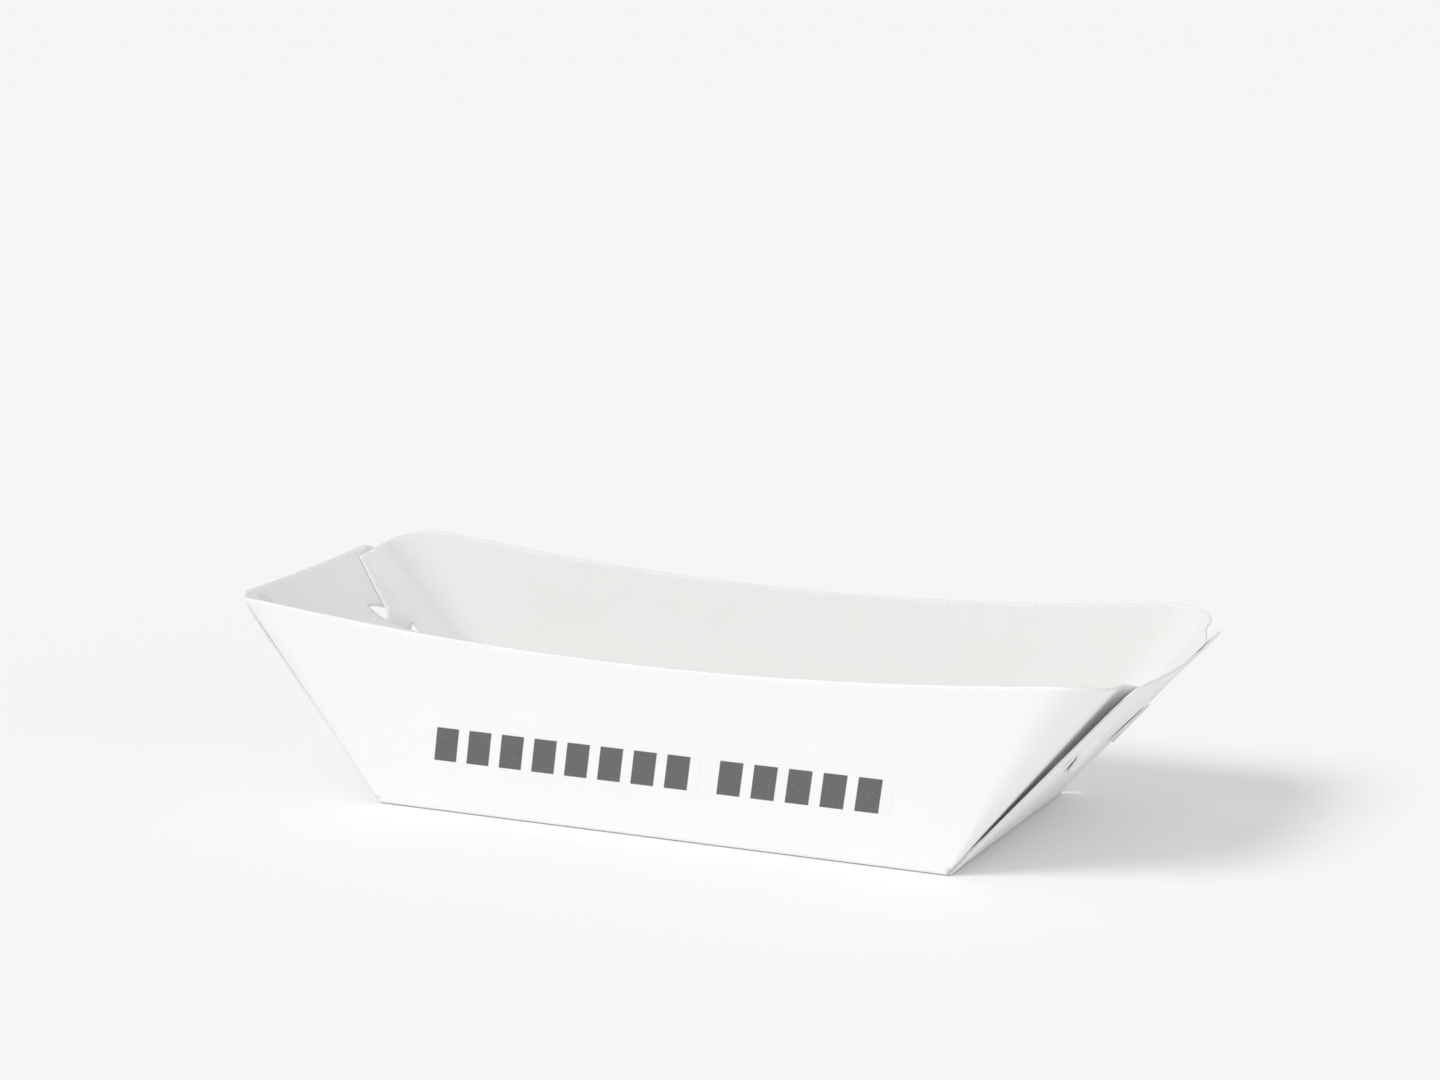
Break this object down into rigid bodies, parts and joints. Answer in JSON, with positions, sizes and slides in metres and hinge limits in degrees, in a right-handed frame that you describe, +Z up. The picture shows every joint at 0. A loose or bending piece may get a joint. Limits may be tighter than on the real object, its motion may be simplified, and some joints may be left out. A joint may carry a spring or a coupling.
{
  "type": "paper food tray",
  "caption": "Open folded paperboard food tray with hollow-curved long walls, sloping end panels and rolled corners locked by arms through slits.",
  "frame": {"origin": "centre of the base's underside, on the surface that the tray stands on", "axes": "+X along the length, +Y across towards the back long wall, +Z up"},
  "size_m": [0.2054, 0.0824, 0.0431],
  "materials": {
    "paperboard": "smooth matt white coated board"
  },
  "bodies": {
    "root": {"folded_tray": "paperboard"}
  },
  "joints": []
}
